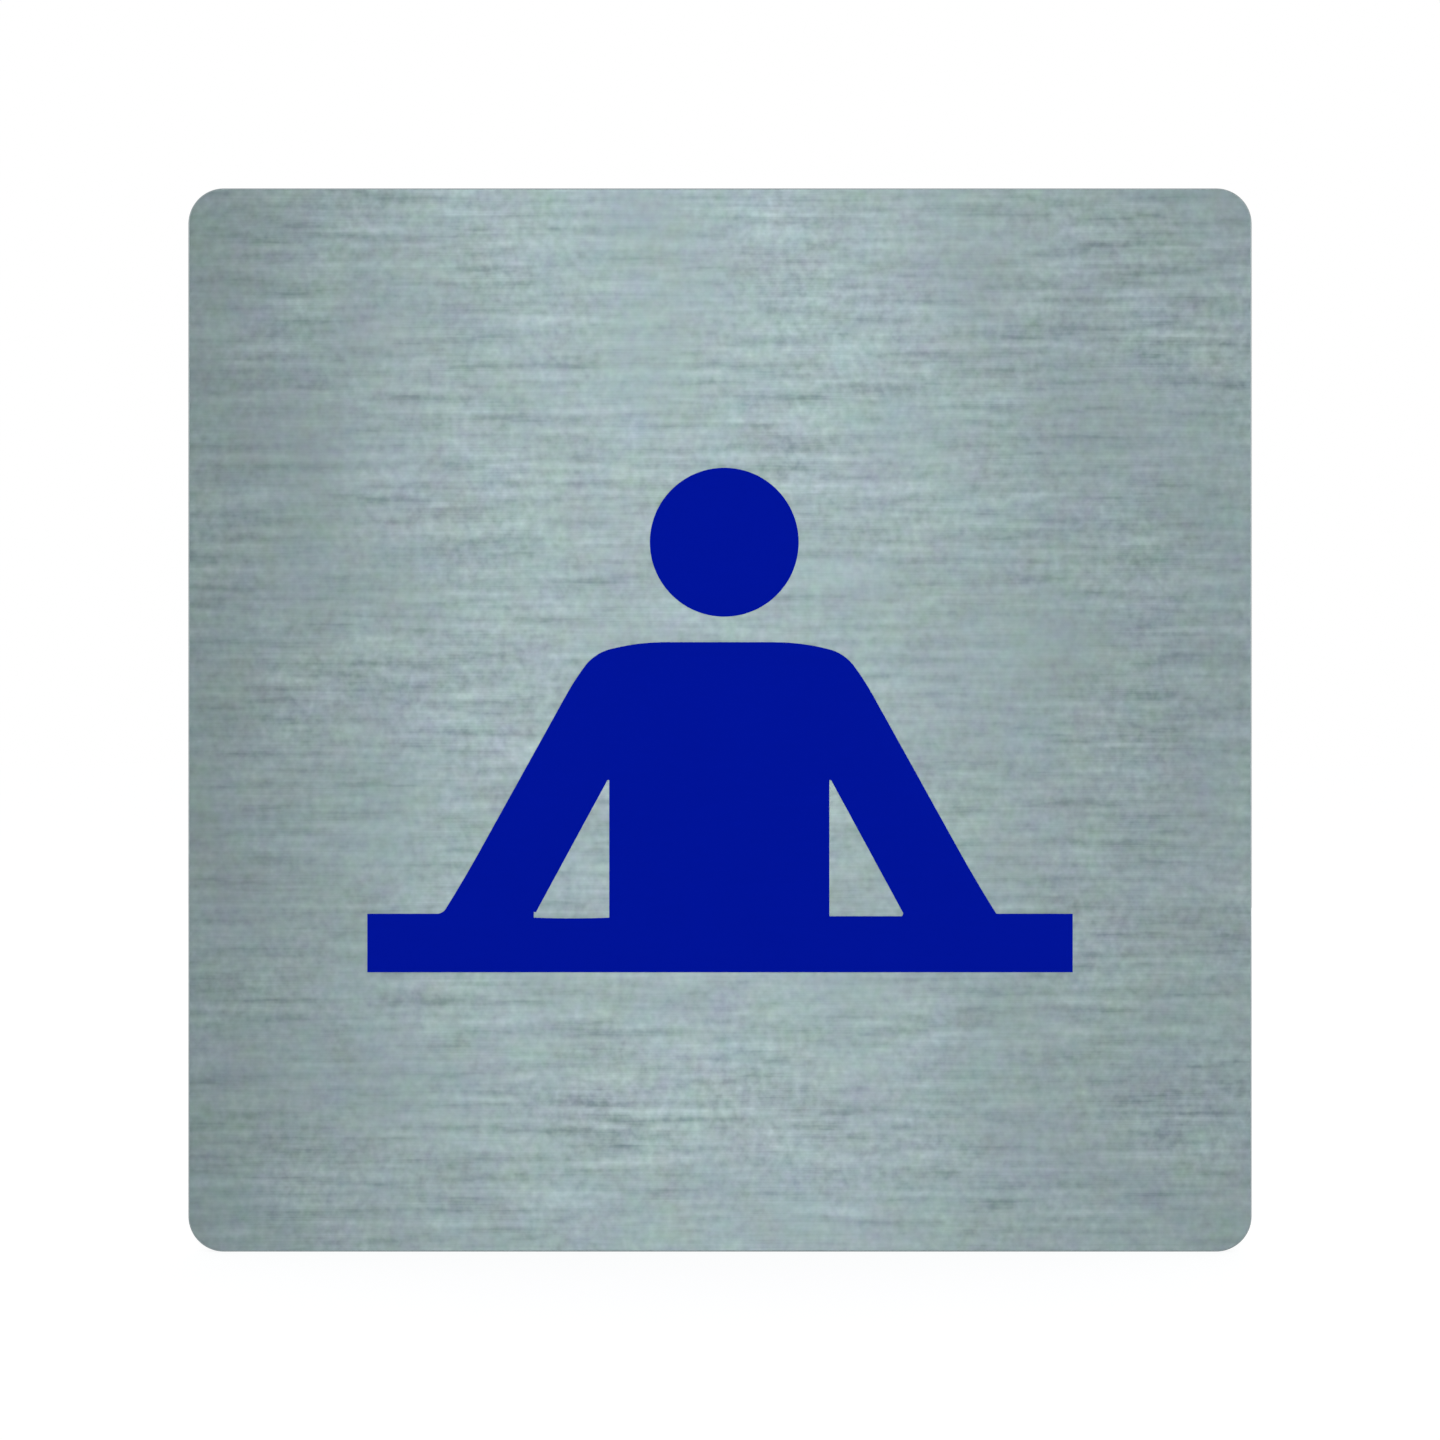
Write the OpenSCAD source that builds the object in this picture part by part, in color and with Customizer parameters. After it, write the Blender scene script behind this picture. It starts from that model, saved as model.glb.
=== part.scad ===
// Square wall sign with a reception pictogram: a brushed sheet-metal plate, blue cut film on its
// front, and strips of double-sided foam tape on its back.
// The sign stands upright as it hangs: front towards -Y, wall at Y = 0, +Z up, and the origin is
// the middle of the wall side.

/* [Plate] */
// Width and height of the square plate
plate_side = 150; // [125:5:300]
// Thickness of the sheet metal
plate_t = 1.5; // [1:0.1:4]
// Radius of the plate's four corners
corner_r = 5; // [1:0.5:15]
// Width of the broken edge that runs round both faces
edge_break = 0.2; // [0.05:0.05:0.4]

/* [Film] */
// Thickness of the blue film
film_t = 0.1; // [0.05:0.05:0.5]

/* [Head] */
// Diameter of the head
head_d = 21; // [12:0.1:28]
// Gap between the head and the top of the shoulders
neck_gap = 3.6; // [1:0.1:8]
// How far the head sits to the right of the plate's centre line
head_shift = 0.6; // [-3:0.1:3]

/* [Body] */
// How far the body sits to the left of the desk's middle
body_shift = 0.1; // [-1:0.05:1]
// Height of the top of the shoulders above the desk's underside
shoulder_h = 46.55; // [38:0.05:55]
// Half the length of the straight stretch along the top of the shoulders
crown_half_w = 6.7; // [4:0.1:9]
// Radius of the slow curve that leads off that stretch
crown_r = 43.9; // [30:0.1:60]
// Angle through which the slow curve turns
crown_turn = 9.6; // [5:0.1:15]
// Radius of the tight curve over the shoulder
shoulder_r = 8.75; // [4:0.05:12]
// Slope of the arms, from the level
arm_slope = 61; // [57:0.05:64]
// Width of the torso between the two windows
torso_w = 31.05; // [20:0.05:36]

/* [Windows] */
// Height of the window between each arm and the torso
window_h = 19.2; // [12:0.1:22]
// Width of each window along its sill
window_w = 10.65; // [6:0.05:12]
// Width of the blunt tip at the top of each window
window_tip_w = 0.25; // [0.1:0.05:1]
// Height of the window sills above the desk's underside
sill_h = 7.9; // [5:0.1:9]
// How much lower the left window's sill lies
left_sill_drop = 0.2; // [0.05:0.05:0.5]
// How far the left window's sill sags in its middle
sill_sag = 0.1; // [0.05:0.05:0.5]
// Height of the nick that squares the left window's outer corner
nick_h = 0.6; // [0.2:0.1:1.2]
// Length of the clip across the right window's outer corner
clip = 0.4; // [0.1:0.05:1]

/* [Desk] */
// Width of the desk
desk_w = 99.5; // [92:0.1:110]
// Height of the desk
desk_h = 8.25; // [6:0.05:12]
// Radius of the fillet where the left arm meets the desk
foot_r = 1.5; // [0.4:0.1:3]

/* [Tape] */
// Thickness of the foam tape
tape_t = 1; // [0.4:0.1:2]
// Width of each strip of tape
tape_w = 19; // [9:1:25]
// Distance from the plate's edge to the nearest tape, on all four sides
tape_inset = 10; // [6:1:16]

/* [Hidden] */

METAL = [0.60, 0.66, 0.67];
BLUE = [0.00, 0.07, 0.59];
FOAM = [0.86, 0.86, 0.84];

// Angle between neighbouring points of a drawn arc
arc_step = 2;
// Points along the sagging sill
sag_points = 12;

// Distance from the plate's middle to the centres of its rounded corners
corner_at = plate_side / 2 - corner_r;
// Height of the whole pictogram, which is centred on the plate
pictogram_h = shoulder_h + neck_gap + head_d;

// Place of the body's centre line at the desk's underside
body_at = [-body_shift, 0];
// Centres of the two curves over the right shoulder, measured from that place
crown_centre = [crown_half_w, shoulder_h - crown_r];
shoulder_centre = crown_centre + (crown_r - shoulder_r) * bearing(crown_turn);
// Where the right shoulder's curve runs out into the straight arm, and where the arm meets the desk
arm_top = shoulder_centre + shoulder_r * bearing(arm_slope);
foot = [arm_top.x + (arm_top.y - desk_h) / tan(arm_slope), desk_h];
// Slope of the windows' slanting sides, from the level
window_slope = atan2(window_h, window_w - window_tip_w);

// Unit vector at an angle turned clockwise from straight up
function bearing(angle) = [sin(angle), cos(angle)];

// Points of an arc between two bearings from its centre
function arc(centre, radius, from, to) =
    let (steps = max(1, ceil(abs(to - from) / arc_step)))
    [for (i = [0:steps]) centre + radius * bearing(from + (to - from) * i / steps)];

// Points of a level line that sags in its middle, from x = 0 to a given length
function sagging_line(length, sag) =
    [for (i = [0:sag_points]) let (t = i / sag_points) [t * length, -4 * sag * t * (1 - t)]];

// Points moved by the same distance
function moved(points, by) = [for (p = points) p + by];

// The same points on the other side of the centre line
function mirrored(points) = [for (p = points) [-p.x, p.y]];

function reversed(points) = [for (i = [len(points) - 1:-1:0]) points[i]];

// The body's outline over the right shoulder, from the middle of the top to the straight arm
shoulder_line = concat(
    arc(crown_centre, crown_r, 0, crown_turn),
    arc(shoulder_centre, shoulder_r, crown_turn, arm_slope)
);

// The hollow fillet at the left arm's foot, drawn on the right for mirroring, from the arm out
foot_line = arc(
    foot + foot_r * [tan(arm_slope / 2), 1],
    foot_r, arm_slope + 180, 180
);

// A flat drawing of one layer, or a solid on it, stood upright at a distance from the wall
module stacked(distance) {
    translate([0, -distance, 0]) rotate([90, 0, 0]) children();
}

// Puts the pictogram's drawing, which starts at the desk's underside, in the middle of the plate
module on_plate() {
    stacked(tape_t + plate_t) linear_extrude(film_t) translate([0, -pictogram_h / 2]) children();
}

// Half the plate's cross-section, from its middle out to an edge, with both corners broken
module half_section(reach) {
    polygon([
        [0, 0],
        [reach - edge_break, 0],
        [reach, edge_break],
        [reach, plate_t - edge_break],
        [reach - edge_break, plate_t],
        [0, plate_t],
    ]);
}

// A straight run of the plate's cross-section, as long as the plate is between its corners
module straight_run() {
    rotate([90, 0, 0]) linear_extrude(2 * corner_at, center = true) {
        half_section(plate_side / 2);
        mirror([1, 0]) half_section(plate_side / 2);
    }
}

// The square sheet: two straight runs that cross, and the cross-section turned about each corner
module plate() {
    color(METAL) stacked(tape_t) {
        straight_run();
        rotate(90) straight_run();
        for (turn = [0:90:270])
            rotate(turn) translate([corner_at, corner_at]) rotate_extrude(angle = 90, $fn = 96)
                half_section(corner_r);
    }
}

// The window under the right arm, with its outer corner clipped
module right_window() {
    translate([torso_w / 2, sill_h]) polygon([
        [0, 0],
        [window_w - clip, 0],
        [window_w - clip / tan(window_slope), clip],
        [window_tip_w, window_h],
        [0, window_h],
    ]);
}

// The window under the left arm, with a sagging sill and a nick that squares its outer corner
module left_window() {
    mirror([1, 0]) translate([torso_w / 2, sill_h]) polygon(concat(
        moved(sagging_line(window_w, sill_sag), [0, -left_sill_drop]),
        [
            [window_w, nick_h],
            [window_w - nick_h / tan(window_slope), nick_h],
            [window_tip_w, window_h],
            [0, window_h],
        ]
    ));
}

// The body, the arms and the desk, cut in one piece: the outline runs clockwise from the middle of
// the shoulders' top
module pictogram_figure() {
    color(BLUE) on_plate() difference() {
        polygon(concat(
            moved(shoulder_line, body_at),
            [
                foot + body_at,
                [desk_w / 2, desk_h],
                [desk_w / 2, 0],
                [-desk_w / 2, 0],
                [-desk_w / 2, desk_h],
            ],
            moved(mirrored(reversed(foot_line)), body_at),
            moved(mirrored(reversed(shoulder_line)), body_at)
        ));
        translate(body_at) left_window();
        translate(body_at) right_window();
    }
}

// The head, a disc of the same film
module pictogram_head() {
    color(BLUE) on_plate()
        translate([head_shift, pictogram_h - head_d / 2]) circle(d = head_d, $fn = 144);
}

// One upright strip of foam tape, at a place across the plate
module tape_strip(x) {
    color(FOAM) stacked(0) translate([x, 0]) linear_extrude(tape_t)
        square([tape_w, plate_side - 2 * tape_inset], center = true);
}

module tape_left() { tape_strip(-plate_side / 2 + tape_inset + tape_w / 2); }
module tape_middle() { tape_strip(0); }
module tape_right() { tape_strip(plate_side / 2 - tape_inset - tape_w / 2); }

plate();
pictogram_figure();
pictogram_head();
tape_left();
tape_middle();
tape_right();
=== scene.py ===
"""A square reception sign: a brushed sheet-metal plate with a pictogram of blue film on its front and
three strips of double-sided foam tape on its back. Lengths are in metres, in the part's own frame: the
front faces -Y, the wall is at Y = 0 and +Z is up."""

import math
import random

import bmesh
import bpy
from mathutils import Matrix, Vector


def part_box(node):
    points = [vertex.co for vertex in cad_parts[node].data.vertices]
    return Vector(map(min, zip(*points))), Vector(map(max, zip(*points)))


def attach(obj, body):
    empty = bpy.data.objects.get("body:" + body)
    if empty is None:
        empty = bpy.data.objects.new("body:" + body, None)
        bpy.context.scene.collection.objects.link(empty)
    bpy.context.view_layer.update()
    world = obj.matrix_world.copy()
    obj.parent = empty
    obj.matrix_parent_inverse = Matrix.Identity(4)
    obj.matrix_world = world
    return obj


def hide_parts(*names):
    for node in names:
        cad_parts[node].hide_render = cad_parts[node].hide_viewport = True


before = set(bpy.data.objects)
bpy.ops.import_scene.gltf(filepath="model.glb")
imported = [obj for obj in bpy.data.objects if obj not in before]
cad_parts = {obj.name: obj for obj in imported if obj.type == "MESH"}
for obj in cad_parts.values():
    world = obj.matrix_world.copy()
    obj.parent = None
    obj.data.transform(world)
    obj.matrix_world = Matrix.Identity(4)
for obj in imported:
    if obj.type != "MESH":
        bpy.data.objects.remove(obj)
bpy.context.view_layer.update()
plate_low, plate_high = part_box("plate")
film_low, film_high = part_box("pictogram_figure")

MM = 0.001

# Points nearer than this lie in the same place
SAME_PLACE = 1e-6

# The plate: its edges as they leave the press and the deburring brush
FRONT_EDGE_ROUND = 0.2 * MM
BACK_EDGE_ROUND = 0.14 * MM
ROUND_STEPS = 5
CORNER_STEPS = 32
# A narrow ring that lies flat inside each rounded edge, and keeps the face's shading flat too
FLAT_MARGIN = 0.15 * MM

# The film: the soft rim that the knife and the squeegee leave
RIM_ROUND = 0.03 * MM
RIM_STEPS = 3
# Faces and edges that turn by less than this are one
STRAIGHT_WITHIN = math.radians(0.3)

# The knife's way from the middle of the shoulders' top to an arm's foot: the length of each stretch,
# and how many degrees it turns down on the way
KNIFE_STRETCHES = (
    (7.6 * MM, 0.0),  # the level top
    (7.9 * MM, 14.4),  # the slow curve that leads off it
    (4.4 * MM, 39.0),  # the tight bend over the shoulder
    (4.9 * MM, 7.6),  # the swell of the upper arm
    (25.0 * MM, 0.0),  # the straight arm
)
# From there to the foot the arm flares: how many degrees it turns back out in each millimetre
FOOT_FLARE = 0.31
# Radius of the hollow where the left arm meets the desk
FOOT_FILLET = 1.5 * MM
# Degrees between neighbouring points of a curve
KNIFE_STEP = 1.5
# How far the body sits to the right of the plate's middle
BODY_SHIFT = -0.07 * MM

# The foam tape: an adhesive skin on both faces, and between them foam that draws back where it is cut
SKIN_T = 0.06 * MM
DRAW_BACK = 0.05 * MM
FOAM_RINGS = 6
# How uneven the cut leaves the foam and the skins
FOAM_WANDER = 0.035 * MM
SKIN_WANDER = FOAM_WANDER / 4
# The distance between the cut's points, and the shares in which each takes in its neighbours
CUT_PITCH = 0.6 * MM
WANDER_SHARES = (1, 2, 3, 2, 1)
# The first strip's seed, from which the next two count on
FIRST_TAPE_SEED = 70

# Small marks in the finishes: how many fit in a metre, along X, Y and Z where they differ
CUT_MARKS = (4000, 250, 4000)
SCUFF_MARKS = (60, 60, 4500)
FOAM_CELLS = 7 / MM
RUB_PATCHES = 0.35 / MM
# How low a streak dips where a furrow starts and where it is deepest
FURROW_STARTS = 0.40
FURROW_DEEPEST = 0.22
# How high a scuff's noise rises where it starts and where it is clearest
SCUFF_STARTS = 0.66
SCUFF_CLEAREST = 0.78

# The camera stands square to the sign, where the photograph's frame is 203.1 mm wide at its face
FRAME_WIDTH = 203.1 * MM
LENS = 100
SENSOR = 36

# Room light, and how the floor stays near white where it is seen or mirrored
ROOM_LIGHT = 0.69
FLOOR_REACH = 6.0
FLOOR_WHITE_SHARE = 0.7
FLOOR_WHITE = 1.17

# Soft lamps: the name, where each is, what it faces, its width and height, and its watts
LAMPS = (
    ("window lamp", (-0.024, -1.0, 0.155), (-0.024, 0, 0.155), (0.25, 0.45), 1.5),
    ("side lamp", (0.34, -1.0, 0.155), (0.34, 0, 0.155), (0.5, 0.45), 1.0),
    ("far left lamp", (-0.8, -1.0, 0.155), (0, 0, 0), (0.3, 0.45), 1.2),
    ("far right lamp", (0.95, -0.9, 0.155), (0, 0, 0), (0.3, 0.45), 1.2),
    ("back lamp", (0.2, 1.0, 0.155), (0, 0, 0), (0.35, 0.45), 1.5),
    ("ceiling lamp", (0, -0.5, 1.3), (0, 0, 0), (1.2, 1.2), 1.0),
)


def srgb(red, green, blue):
    """A colour given in 8-bit screen values, as linear values."""

    def linear(value):
        value = value / 255
        return value / 12.92 if value <= 0.04045 else ((value + 0.055) / 1.055) ** 2.4

    return (linear(red), linear(green), linear(blue), 1.0)


# Screen colours of the finishes
METAL_GREENER = srgb(126, 152, 143)
METAL_MAUVER = srgb(126, 129, 143)
METAL_YELLOWER = srgb(126, 141, 133)
METAL_BLUER = srgb(126, 141, 153)
METAL_STREAK = srgb(134, 142, 143)
METAL_BACK = srgb(158, 164, 166)
CUT_METAL = srgb(135, 147, 149)
BLUE = srgb(0, 19, 150)
FOAM_WHITE = srgb(236, 236, 232)
ADHESIVE = srgb(226, 225, 217)
FLOOR_PALE = srgb(240, 241, 242)


# Short ways to build node trees


def feed(tree, socket, value):
    """Sets a socket to a plain value, or links another node's output to it."""
    if isinstance(value, bpy.types.NodeSocket):
        tree.links.new(value, socket)
    else:
        socket.default_value = value


def add(tree, kind, inputs=None, label="", **settings):
    """Adds a shader node. An input, by name or place, is a plain value or another node's output."""
    node = tree.nodes.new("ShaderNode" + kind)
    node.label = label
    for name, value in settings.items():
        setattr(node, name, value)
    for name, value in (inputs or {}).items():
        feed(tree, node.inputs[name], value)
    return node


def maths(tree, operation, first, second=0.0, label=""):
    """One sum, product or other step on two numbers."""
    return add(tree, "Math", {0: first, 1: second}, label, operation=operation).outputs[0]


def summed(tree, level, *parts):
    """A level with masks added to it, each given with its strength."""
    for mask, strength in parts:
        level = maths(tree, "ADD", level, maths(tree, "MULTIPLY", mask, strength))
    return level


def vector_maths(tree, operation, first, second, label=""):
    """One step on two vectors, or for SCALE on a vector and a number."""
    second_place = 3 if operation == "SCALE" else 1
    inputs = {0: first, second_place: second}
    return add(tree, "VectorMath", inputs, label, operation=operation).outputs[0]


def blend_colours(tree, share, first, second, label=""):
    """A colour between two others."""
    inputs = {0: share, 6: first, 7: second}
    return add(tree, "Mix", inputs, label, data_type="RGBA").outputs[2]


def shade(tree, colour, amount):
    """A colour made lighter or darker by a mask that runs either side of zero."""
    return vector_maths(tree, "SCALE", colour[:3], maths(tree, "ADD", amount, 1.0))


def place_on_sign(tree):
    """Where a point lies in the part's frame, in metres."""
    return add(tree, "TexCoord").outputs["Object"]


def place_in_millimetres(tree):
    """Where a point lies in the part's frame, in millimetres."""
    return vector_maths(tree, "SCALE", place_on_sign(tree), 1 / MM)


def noise(tree, place, detail, roughness=0.5, scale=1.0):
    """Smooth chance values from 0 to 1, about a half."""
    inputs = {"Vector": place, "Scale": scale, "Detail": detail, "Roughness": roughness}
    return add(tree, "TexNoise", inputs).outputs["Fac"]


def either_side_of_zero(tree, value):
    """Noise spread out to run from -1 to 1, about zero."""
    return maths(tree, "MULTIPLY", maths(tree, "SUBTRACT", value, 0.5), 2.0)


def ramp(tree, value, start, end, **settings):
    """A mask that is 0 where a value is at the start, and 1 where it is at the end."""
    inputs = {"Value": value, "From Min": start, "From Max": end}
    return add(tree, "MapRange", inputs, **settings).outputs["Result"]


def bumped(tree, height, strength, distance, **settings):
    """The normal of a surface that a mask raises and sinks, by a distance in metres at most."""
    inputs = {"Height": height, "Strength": strength, "Distance": distance}
    return add(tree, "Bump", inputs, **settings).outputs["Normal"]


def new_group(name, inputs, outputs):
    """An empty effect with named inputs, each with its usual value, and named outputs."""
    tree = bpy.data.node_groups.new(name, "ShaderNodeTree")
    for socket, value in inputs.items():
        made = tree.interface.new_socket(socket, in_out="INPUT", socket_type="NodeSocketFloat")
        made.default_value = value
    for socket in outputs:
        tree.interface.new_socket(socket, in_out="OUTPUT", socket_type="NodeSocketFloat")
    return tree, tree.nodes.new("NodeGroupInput").outputs, tree.nodes.new("NodeGroupOutput").inputs


def effect(tree, group, label, **values):
    """Places an effect in a material with its own values, and returns its outputs."""
    node = tree.nodes.new("ShaderNodeGroup")
    node.node_tree = group
    node.label = label
    for name, value in values.items():
        node.inputs[name.capitalize()].default_value = value
    return node.outputs


def new_material(name):
    """An empty material: its tree and its Principled shader."""
    material = bpy.data.materials.new(name)
    material.use_nodes = True
    tree = material.node_tree
    return material, tree, tree.nodes["Principled BSDF"]


def set_shader(tree, shader, **inputs):
    """Gives a shader its values: plain ones on its own sockets, and changing ones by a link."""
    for name, value in inputs.items():
        feed(tree, shader.inputs[name.replace("_", " ")], value)


# Effects that the finishes are made with


def make_streaks():
    """Fine lines that all run along X, of a given length and width in millimetres. Detail is how many
    finer sets lie in them. Streaks runs either side of zero, by about a half, and Furrows keeps only
    the deepest dark ones, from 0 to 1."""
    tree, given, out = new_group(
        "Brush streaks",
        {"Length": 8.0, "Width": 0.5, "Detail": 2.0, "Seed": 0.0},
        ("Streaks", "Furrows"),
    )
    cell = add(tree, "CombineXYZ", {0: given["Length"], 1: given["Width"], 2: given["Width"]})
    drawn_out = vector_maths(tree, "DIVIDE", place_in_millimetres(tree), cell.outputs[0])
    moved = vector_maths(tree, "ADD", drawn_out, given["Seed"])
    lines = noise(tree, moved, given["Detail"], 0.55)
    furrows = ramp(
        tree, lines, FURROW_STARTS, FURROW_DEEPEST, interpolation_type="SMOOTHSTEP"
    )
    feed(tree, out["Streaks"], either_side_of_zero(tree, lines))
    feed(tree, out["Furrows"], furrows)
    return tree


def make_mottle():
    """Patches of a given size in millimetres, either side of zero by about a half. Detail is how many
    smaller sets of patches lie in them, and Fineness how strong those are."""
    tree, given, out = new_group(
        "Soft mottle", {"Size": 10.0, "Fineness": 0.5, "Detail": 3.0, "Seed": 0.0}, ("Mottle",)
    )
    scale = maths(tree, "DIVIDE", 1.0, given["Size"])
    sized = vector_maths(tree, "SCALE", place_in_millimetres(tree), scale)
    moved = vector_maths(tree, "ADD", sized, given["Seed"])
    patches = noise(tree, moved, given["Detail"], given["Fineness"])
    feed(tree, out["Mottle"], either_side_of_zero(tree, patches))
    return tree


def make_edge_rub(half_side):
    """How near a point is to the plate's outline: 1 at the edge, fading to 0 at a reach in
    millimetres, broken up as handling leaves it."""
    tree, given, out = new_group("Edge rub", {"Reach": 1.0, "Seed": 0.0}, ("Rub",))
    place = place_on_sign(tree)
    apart = add(tree, "SeparateXYZ", {0: place}).outputs
    across = maths(tree, "ABSOLUTE", apart["X"])
    up = maths(tree, "ABSOLUTE", apart["Z"])
    inside = maths(tree, "SUBTRACT", half_side, maths(tree, "MAXIMUM", across, up))
    reach = maths(tree, "MULTIPLY", given["Reach"], MM)
    near = ramp(tree, inside, reach, 0.0, interpolation_type="SMOOTHSTEP")
    moved = vector_maths(tree, "ADD", place, given["Seed"])
    broken = noise(tree, moved, 2.0, scale=RUB_PATCHES)
    feed(tree, out["Rub"], maths(tree, "MULTIPLY", near, broken))
    return tree


STREAKS = make_streaks()
MOTTLE = make_mottle()
EDGE_RUB = make_edge_rub(plate_high.x)


# Finishes


def brushed_face():
    """The plate's front: level brushing with the grain along X, which spreads reflections up and down."""
    material, tree, metal = new_material("brushed face")
    short = effect(tree, STREAKS, "short grain", length=1.3, width=1.35, seed=1.0)
    long = effect(tree, STREAKS, "long grain", length=11.0, width=1.4, seed=2.0)
    runs = effect(tree, STREAKS, "longest runs", length=27.0, width=1.3, detail=1.0, seed=6.0)
    hair = effect(tree, STREAKS, "hairlines", length=24.0, width=0.1, detail=1.0, seed=3.0)
    clouds = effect(tree, MOTTLE, "cloudy tone", size=22.0, detail=1.0, seed=4.0)["Mottle"]
    green = effect(tree, MOTTLE, "green to mauve", size=6.0, fineness=0.85, seed=5.0)["Mottle"]
    blue = effect(tree, MOTTLE, "yellow to blue", size=6.5, fineness=0.85, seed=7.0)["Mottle"]

    grain = summed(
        tree, 0.0,
        (short["Streaks"], 0.225), (long["Streaks"], 0.20), (runs["Streaks"], 0.165),
        (hair["Streaks"], 0.10), (long["Furrows"], -0.08),
    )
    pressed = maths(tree, "ADD", clouds, 1.0, "harder and lighter brushing")
    grain = maths(tree, "MULTIPLY", grain, pressed)
    tone = summed(tree, grain, (clouds, 0.06))

    first = blend_colours(tree, maths(tree, "ADD", green, 0.5), METAL_GREENER, METAL_MAUVER)
    second = blend_colours(tree, maths(tree, "ADD", blue, 0.5), METAL_YELLOWER, METAL_BLUER)
    hue = blend_colours(tree, 0.5, first, second, "both tints")
    streak = vector_maths(tree, "SCALE", METAL_STREAK[:3], tone, "greyer streaks")

    # Across the grain, which is the way that the fine furrows spread a reflection
    normal = add(tree, "NewGeometry").outputs["Normal"]
    across = vector_maths(tree, "CROSS_PRODUCT", normal, (1, 0, 0))

    set_shader(
        tree, metal, Metallic=1.0, Anisotropic=1.0, Tangent=across,
        Base_Color=vector_maths(tree, "ADD", hue, streak),
        Roughness=summed(tree, 0.38, (grain, -0.08)),
        Normal=bumped(tree, short["Streaks"], 0.35, 0.006 * MM),
    )
    return material


def cut_edge():
    """The plate's edges: cut marks that run from face to face, and a slightly uneven tone."""
    material, tree, metal = new_material("cut edge")
    drawn_out = vector_maths(tree, "MULTIPLY", place_on_sign(tree), CUT_MARKS)
    marks = noise(tree, drawn_out, 3.0)
    uneven = maths(tree, "SUBTRACT", marks, 0.5)
    mottle = effect(tree, MOTTLE, "uneven tone", size=6.0, seed=11.0)["Mottle"]
    tone = summed(tree, 0.0, (uneven, 0.5), (mottle, 0.12))
    set_shader(
        tree, metal, Metallic=1.0,
        Base_Color=shade(tree, CUT_METAL, tone),
        Roughness=summed(tree, 0.38, (uneven, 0.25)),
        Normal=bumped(tree, marks, 0.5, 0.02 * MM),
    )
    return material


def scuffs(tree, lean, seed):
    """Sparse fine scratches that all lean one way, by an angle in degrees, from 0 to 1."""
    turned = add(
        tree, "VectorRotate", {"Vector": place_on_sign(tree), "Angle": math.radians(lean)},
        rotation_type="Y_AXIS",
    )
    drawn_out = vector_maths(tree, "MULTIPLY", turned.outputs[0], SCUFF_MARKS)
    moved = vector_maths(tree, "ADD", drawn_out, (seed, seed, seed))
    return ramp(tree, noise(tree, moved, 1.0), SCUFF_STARTS, SCUFF_CLEAREST)


def mill_back():
    """The plate's back, as the rolling mill leaves it: faint long lines and soft patches, with the
    scuffs and rubbed edges of handling."""
    material, tree, metal = new_material("mill back")
    rolled = effect(tree, STREAKS, "rolling lines", length=60.0, width=0.5, seed=21.0)["Streaks"]
    fine = effect(tree, STREAKS, "fine rolling lines", length=12.0, width=0.15, seed=22.0)["Streaks"]
    clouds = effect(tree, MOTTLE, "cloudy tone", size=22.0, seed=23.0)["Mottle"]
    rub = effect(tree, EDGE_RUB, "handling rub", reach=4.0, seed=24.0)["Rub"]
    scuffed = maths(tree, "ADD", scuffs(tree, 34, 25.0), scuffs(tree, -63, 26.0))
    lines = summed(tree, 0.0, (rolled, 0.10), (fine, 0.06))
    tone = summed(tree, lines, (clouds, 0.10), (rub, 0.08), (scuffed, 0.12))
    set_shader(
        tree, metal, Metallic=1.0,
        Base_Color=shade(tree, METAL_BACK, tone),
        Roughness=summed(tree, 0.40, (tone, -0.3)),
        Normal=bumped(tree, lines, 0.25, 0.02 * MM),
    )
    return material


def blue_film():
    """Cast film, even and deep when seen square on, with a satin shine when seen aslant, and the
    grain of the metal below just showing through."""
    material, tree, film = new_material("blue film")
    grain = effect(
        tree, STREAKS, "grain showing through", length=8.0, width=0.6, seed=31.0
    )["Streaks"]
    peel = effect(tree, MOTTLE, "cast surface", size=0.7, seed=32.0)["Mottle"]
    patches = effect(tree, MOTTLE, "uneven colour", size=9.0, seed=33.0)["Mottle"]
    tone = summed(tree, 0.0, (patches, 0.02), (grain, 0.02))
    normal = bumped(tree, summed(tree, grain, (peel, 0.3)), 0.3, 0.01 * MM)
    aslant = add(tree, "LayerWeight", {"Blend": 0.5, "Normal": normal}).outputs["Facing"]
    set_shader(
        tree, film, Specular_IOR_Level=0.003, Coat_Roughness=0.3,
        Base_Color=shade(tree, BLUE, tone),
        Roughness=summed(tree, 0.42, (peel, 0.06)),
        Coat_Weight=maths(tree, "MULTIPLY", aslant, 0.45, "satin shine"),
        Normal=normal,
    )
    return material


def cut_foam():
    """The tape's cut sides: closed cells, opened by the knife. The colour darkens along the sunken
    borders between the cells, which is painted shade in those hollows.
    """
    material, tree, foam = new_material("cut foam")
    cells = add(
        tree, "TexVoronoi", {"Vector": place_on_sign(tree), "Scale": FOAM_CELLS},
        feature="SMOOTH_F1",
    ).outputs["Distance"]
    mottle = effect(tree, MOTTLE, "uneven tone", size=4.0, seed=41.0)["Mottle"]
    # Painted shade: the colour darkens where the bump below sinks the cells' borders
    tone = summed(tree, 0.0, (cells, -0.25), (mottle, 0.05))
    set_shader(
        tree, foam, Specular_IOR_Level=0.3, Roughness=0.85,
        Base_Color=shade(tree, FOAM_WHITE, tone),
        Normal=bumped(tree, cells, 0.8, 0.05 * MM, invert=True),
    )
    return material


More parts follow.
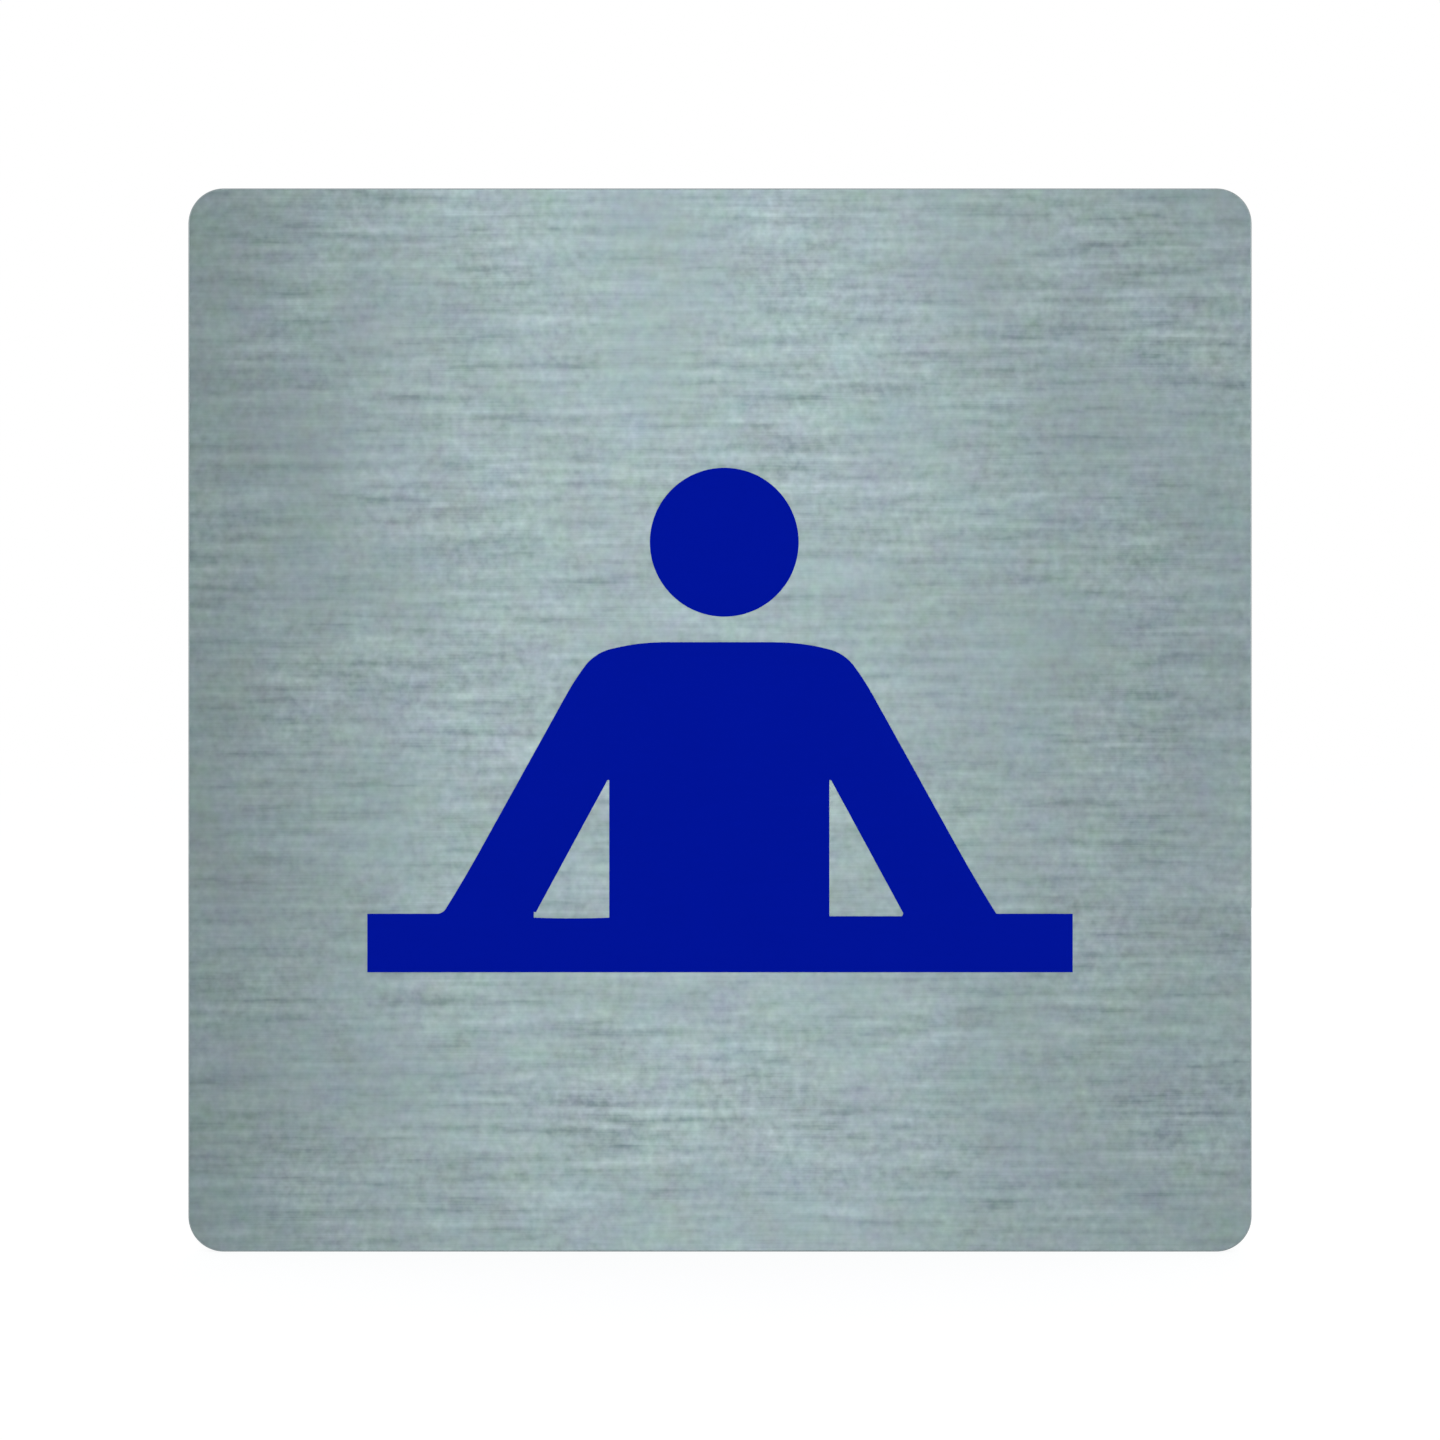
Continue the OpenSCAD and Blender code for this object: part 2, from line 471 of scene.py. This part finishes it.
def adhesive_face():
    """The tape's tacky face: clear adhesive over the foam's cells, left rippled across the strip where
    the liner was peeled off."""
    material, tree, tape = new_material("adhesive face")
    ripple = effect(tree, STREAKS, "peeling marks", length=26.0, width=2.6, seed=51.0)["Streaks"]
    pits = effect(tree, MOTTLE, "foam below", size=0.7, fineness=0.6, seed=52.0)["Mottle"]
    patches = effect(tree, MOTTLE, "uneven tone", size=12.0, seed=53.0)["Mottle"]
    tone = summed(tree, 0.0, (pits, 0.16), (patches, 0.08), (ripple, 0.05))
    set_shader(
        tree, tape, Specular_IOR_Level=0.5,
        Base_Color=shade(tree, ADHESIVE, tone),
        Roughness=summed(tree, 0.22, (ripple, 0.15)),
        Normal=bumped(tree, summed(tree, ripple, (pits, 0.25)), 0.6, 0.12 * MM),
    )
    return material


# Shapes


def new_piece(name, shape, materials):
    """A mesh object made from a finished shape."""
    mesh = bpy.data.meshes.new(name)
    bmesh.ops.recalc_face_normals(shape, faces=shape.faces)
    shape.to_mesh(mesh)
    shape.free()
    for material in materials:
        mesh.materials.append(material)
    piece = bpy.data.objects.new(name, mesh)
    bpy.context.scene.collection.objects.link(piece)
    return piece


def loft(shape, rings, finishes):
    """Joins rings of equal length, one after another. A finish is given for each gap between rings."""
    rows = [[shape.verts.new(point) for point in ring] for ring in rings]
    for low, high, finish_number in zip(rows, rows[1:], finishes):
        for at in range(len(low)):
            after = (at + 1) % len(low)
            face = shape.faces.new((low[at], low[after], high[after], high[at]))
            face.material_index = finish_number
            face.smooth = True
    return rows


def cap(shape, row, finish_number):
    """Closes a ring with one flat face."""
    face = shape.faces.new(row)
    face.material_index = finish_number
    face.smooth = True


def corner_radius(node):
    """The radius of a square node's corners, read off where its straight edges end."""
    low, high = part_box(node)
    points = [vertex.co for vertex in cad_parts[node].data.vertices]
    return high.x - max(abs(point.x) for point in points if point.z > high.z - SAME_PLACE)


def rounded_square(half, radius, y):
    """A ring round the sign at one depth: four corner arcs, joined by straight sides."""
    ring = []
    for corner in range(4):
        turn = math.radians(90 * corner)
        middle_x = (half - radius) * (math.cos(turn) - math.sin(turn))
        middle_z = (half - radius) * (math.sin(turn) + math.cos(turn))
        for step in range(CORNER_STEPS + 1):
            angle = turn + math.radians(90 * step / CORNER_STEPS)
            x = middle_x + radius * math.cos(angle)
            z = middle_z + radius * math.sin(angle)
            ring.append((x, y, z))
    return ring


def rounded_edge(radius):
    """A quarter round from a flat face out to the side, as distances in from the side and down from
    the face."""
    angles = [math.radians(90 * step / ROUND_STEPS) for step in range(ROUND_STEPS + 1)]
    return [(radius * (1 - math.sin(angle)), radius * (1 - math.cos(angle))) for angle in angles]


def make_plate():
    """The sheet: a flat brushed front, a rounded edge, a cut side and the mill's own back."""
    half = plate_high.x
    radius = corner_radius("plate")
    front, back = plate_low.y, plate_high.y
    profile = [(FRONT_EDGE_ROUND + FLAT_MARGIN, front)]
    profile += [(inset, front + depth) for inset, depth in rounded_edge(FRONT_EDGE_ROUND)]
    profile += [(inset, back - depth) for inset, depth in reversed(rounded_edge(BACK_EDGE_ROUND))]
    profile += [(BACK_EDGE_ROUND + FLAT_MARGIN, back)]

    brushed, cut, mill = range(3)
    rings = [rounded_square(half - inset, radius - inset, y) for inset, y in profile]
    finishes = [brushed] + [cut] * (len(rings) - 3) + [mill]
    shape = bmesh.new()
    rows = loft(shape, rings, finishes)
    cap(shape, rows[0], brushed)
    cap(shape, rows[-1], mill)
    piece = new_piece("sign_plate", shape, [brushed_face(), cut_edge(), mill_back()])
    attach(piece, "root")
    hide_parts("plate")


def node_shape(node):
    """A node's own shape, with its flat faces whole again."""
    shape = bmesh.new()
    shape.from_mesh(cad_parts[node].data)
    bmesh.ops.remove_doubles(shape, verts=shape.verts, dist=SAME_PLACE)
    bmesh.ops.dissolve_limit(
        shape, angle_limit=STRAIGHT_WITHIN, verts=shape.verts, edges=shape.edges
    )
    return shape


def front_rim(shape):
    """The edges round the film's front face, outside and in the windows."""
    return [
        edge for edge in shape.edges
        if len(edge.link_faces) == 2
        and sorted(round(abs(face.normal.y)) for face in edge.link_faces) == [0, 1]
        and edge.verts[0].co.y < film_low.y + RIM_ROUND
    ]


def closed_lines(edges):
    """Follows edges round from end to end, and returns each closed line as points in X and Z."""
    left = list(edges)
    lines = []
    while left:
        start, at = left.pop(0).verts
        line = [start.co.xz]
        while at != start:
            line.append(at.co.xz)
            edge = next(other for other in at.link_edges if other in left)
            left.remove(edge)
            at = edge.other_vert(at)
        lines.append(line)
    return lines


def half_width(line):
    """How far a closed line goes to either side of the sign's middle."""
    return max(abs(point.x) for point in line)


def knife_moves():
    """The knife's way as short moves, each a length and how many degrees it turns down. The last
    stretch, where the arm flares, has no end of its own."""
    for length, turn in KNIFE_STRETCHES:
        steps = max(1, round(turn / KNIFE_STEP))
        for _ in range(steps):
            yield length / steps, turn / steps
    while True:
        yield MM, -FOOT_FLARE


def knife_way(top, desk_top):
    """Points from the middle of the shoulders' top to the right arm's foot on the desk, and the
    slope in degrees at which they end."""
    at = Vector((0, top))
    slope = 0.0
    points = [at.copy()]
    for length, turn in knife_moves():
        middle = math.radians(slope + turn / 2)
        at.x += length * math.cos(middle)
        at.y -= length * math.sin(middle)
        slope += turn
        points.append(at.copy())
        if at.y <= desk_top:
            break
    past = (desk_top - at.y) / math.tan(math.radians(slope))
    points[-1] = Vector((at.x - past, desk_top))
    return points, slope


def filleted(way, slope, desk_top):
    """The knife's way again, with a hollow where the arm meets the desk."""
    from_foot = FOOT_FILLET * math.tan(math.radians(slope / 2))
    hollow_top = desk_top + from_foot * math.sin(math.radians(slope))
    points = [point for point in way if point.y > hollow_top]
    steps = round(slope / KNIFE_STEP)
    for step in range(steps + 1):
        turn = math.radians(slope * (1 - step / steps))
        x = way[-1].x + from_foot - FOOT_FILLET * math.sin(turn)
        z = desk_top + FOOT_FILLET * (1 - math.cos(turn))
        points.append(Vector((x, z)))
    return points


def figure_outline(desk_top):
    """The figure's outer outline, clockwise from the middle of the shoulders' top."""
    way, slope = knife_way(film_high.z, desk_top)
    hollow_way = filleted(way, slope, desk_top)
    shift = Vector((BODY_SHIFT, 0))
    right = [point + shift for point in way]
    left = [Vector((-point.x, point.y)) + shift for point in reversed(hollow_way[1:])]
    desk = [
        Vector((film_high.x, desk_top)),
        Vector((film_high.x, film_low.z)),
        Vector((film_low.x, film_low.z)),
        Vector((film_low.x, desk_top)),
    ]
    return right + desk + left


def figure_shape():
    """The figure as it was really cut: the node's own windows and desk, and the knife's way over the
    shoulders and down the arms."""
    node = node_shape("pictogram_figure")
    outer, *windows = sorted(closed_lines(front_rim(node)), key=half_width, reverse=True)
    node.free()
    desk_top = max(point.y for point in outer if point.x > film_high.x - SAME_PLACE)

    shape = bmesh.new()
    rims = []
    for line in [figure_outline(desk_top)] + windows:
        corners = [shape.verts.new((point.x, film_low.y, point.y)) for point in line]
        rims += [shape.edges.new((corners[at - 1], corners[at])) for at in range(len(corners))]
    bmesh.ops.triangle_fill(shape, use_beauty=True, use_dissolve=True, edges=rims)
    made = bmesh.ops.extrude_face_region(shape, geom=shape.faces[:], use_keep_orig=True)
    back = [item for item in made["geom"] if isinstance(item, bmesh.types.BMVert)]
    bmesh.ops.translate(shape, verts=back, vec=(0, film_high.y - film_low.y, 0))
    bmesh.ops.recalc_face_normals(shape, faces=shape.faces)
    return shape


def make_film(name, node, shape, material):
    """A piece of film with its front rim softened, in place of a node."""
    bmesh.ops.bevel(
        shape, geom=front_rim(shape), offset=RIM_ROUND, segments=RIM_STEPS, profile=0.5,
        affect="EDGES",
    )
    for face in shape.faces:
        face.smooth = True
        face.material_index = 0
    piece = new_piece(name, shape, [material])
    piece.modifiers.new("flat faces stay flat", "WEIGHTED_NORMAL")
    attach(piece, "root")
    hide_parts(node)


def strip_ring(low, high, inset, y, wander):
    """A ring round a strip of tape at one depth, drawn in from its box and uneven where it is cut."""
    ring = []
    corners = [(low.x, low.z), (high.x, low.z), (high.x, high.z), (low.x, high.z)]
    counts = [round((high.x - low.x) / CUT_PITCH), round((high.z - low.z) / CUT_PITCH)] * 2
    for side, count in enumerate(counts):
        start, end = corners[side], corners[(side + 1) % 4]
        for step in range(count):
            share = step / count
            x = start[0] + (end[0] - start[0]) * share
            z = start[1] + (end[1] - start[1]) * share
            drawn = inset + wander[len(ring)]
            x = min(max(x, low.x + drawn), high.x - drawn)
            z = min(max(z, low.z + drawn), high.z - drawn)
            ring.append((x, y, z))
    return ring


def smooth_wander(count, size, source):
    """Uneven offsets round a closed line, from 0 to a given size. Each is a chance value averaged
    with its neighbours."""
    raw = [source.random() for _ in range(count)]
    offsets = []
    for at in range(count):
        mixed = sum(
            share * raw[(at + beside - 2) % count] for beside, share in enumerate(WANDER_SHARES)
        )
        offsets.append(size * mixed / sum(WANDER_SHARES))
    return offsets


def make_tape(name, node, materials, seed):
    """A strip of foam tape: adhesive skins at the full width, and foam drawn back between them."""
    source = random.Random(seed)
    low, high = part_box(node)
    around = 2 * (round((high.x - low.x) / CUT_PITCH) + round((high.z - low.z) / CUT_PITCH))
    depths = [(0.0, low.y), (0.0, low.y + SKIN_T)]
    for step in range(1, FOAM_RINGS):
        share = step / FOAM_RINGS
        y = low.y + SKIN_T + (high.y - low.y - 2 * SKIN_T) * share
        depths.append((DRAW_BACK * math.sin(math.pi * share), y))
    depths += [(0.0, high.y - SKIN_T), (0.0, high.y)]
    rings = []
    for inset, y in depths:
        wander = smooth_wander(around, FOAM_WANDER if inset else SKIN_WANDER, source)
        rings.append(strip_ring(low, high, inset, y, wander))
    foam, adhesive = range(2)
    shape = bmesh.new()
    rows = loft(shape, rings, [foam] * (len(rings) - 1))
    cap(shape, rows[0], adhesive)
    cap(shape, rows[-1], adhesive)
    for face in shape.faces:
        face.smooth = face.material_index == foam
    piece = new_piece(name, shape, materials)
    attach(piece, "root")
    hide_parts(node)


# Stage, light and camera


def seen_directly(tree):
    """1 for what the camera sees, itself or mirrored in the metal, and 0 for light on its way."""
    path = add(tree, "LightPath").outputs
    seen = maths(tree, "MAXIMUM", path["Is Camera Ray"], path["Is Glossy Ray"])
    return maths(tree, "MAXIMUM", seen, path["Is Transmission Ray"])


def make_floor():
    """A plain pale floor under the sign. It stays near white to the camera and in reflections, and
    keeps the sign's shadow."""
    shape = bmesh.new()
    corners = [(-1, -1), (1, -1), (1, 1), (-1, 1)]
    shape.faces.new([
        shape.verts.new((FLOOR_REACH * x, FLOOR_REACH * y, plate_low.z)) for x, y in corners
    ])
    material, tree, floor = new_material("pale floor")
    set_shader(tree, floor, Base_Color=FLOOR_PALE, Roughness=0.9, Specular_IOR_Level=0.0)
    white = add(tree, "Emission", {"Strength": FLOOR_WHITE})
    share = maths(tree, "MULTIPLY", seen_directly(tree), FLOOR_WHITE_SHARE)
    mixed = add(tree, "MixShader", {0: share, 1: floor.outputs[0], 2: white.outputs[0]})
    feed(tree, tree.nodes["Material Output"].inputs["Surface"], mixed.outputs[0])
    piece = new_piece("floor", shape, [material])


def make_world():
    """Even room light, behind which the camera and the metal see plain white."""
    world = bpy.data.worlds.new("room")
    bpy.context.scene.world = world
    world.use_nodes = True
    tree = world.node_tree
    tree.nodes.clear()
    room = add(tree, "Background", {"Color": (1, 1, 1, 1), "Strength": ROOM_LIGHT})
    white = add(tree, "Background", {"Color": (1, 1, 1, 1), "Strength": 1.0})
    mixed = add(
        tree, "MixShader", {0: seen_directly(tree), 1: room.outputs[0], 2: white.outputs[0]}
    )
    add(tree, "OutputWorld", {"Surface": mixed.outputs[0]})


def make_lamp(name, place, target, size, watts):
    """A soft rectangular lamp, turned to face a point."""
    light = bpy.data.lights.new(name, "AREA")
    light.shape = "RECTANGLE"
    light.size, light.size_y = size
    light.energy = watts
    lamp = bpy.data.objects.new(name, light)
    lamp.location = place
    lamp.rotation_euler = (Vector(target) - Vector(place)).to_track_quat("-Z", "Y").to_euler()
    lamp.visible_camera = False
    bpy.context.scene.collection.objects.link(lamp)


def make_camera():
    """The camera, square to the sign's face."""
    camera = bpy.data.cameras.new("camera")
    camera.lens = LENS
    camera.sensor_width = SENSOR
    holder = bpy.data.objects.new("camera", camera)
    holder.location = (0, plate_low.y - FRAME_WIDTH * LENS / SENSOR, 0)
    holder.rotation_euler = (math.radians(90), 0, 0)
    bpy.context.scene.collection.objects.link(holder)
    bpy.context.scene.camera = holder


make_camera()
make_world()
for lamp in LAMPS:
    make_lamp(*lamp)
make_floor()

make_plate()
film_finish = blue_film()
make_film("film_figure", "pictogram_figure", figure_shape(), film_finish)
make_film("film_head", "pictogram_head", node_shape("pictogram_head"), film_finish)
tape_finishes = [cut_foam(), adhesive_face()]
for number, side in enumerate(("left", "middle", "right")):
    make_tape("foam_tape_" + side, "tape_" + side, tape_finishes, FIRST_TAPE_SEED + number)

bpy.context.scene.view_settings.view_transform = "Standard"
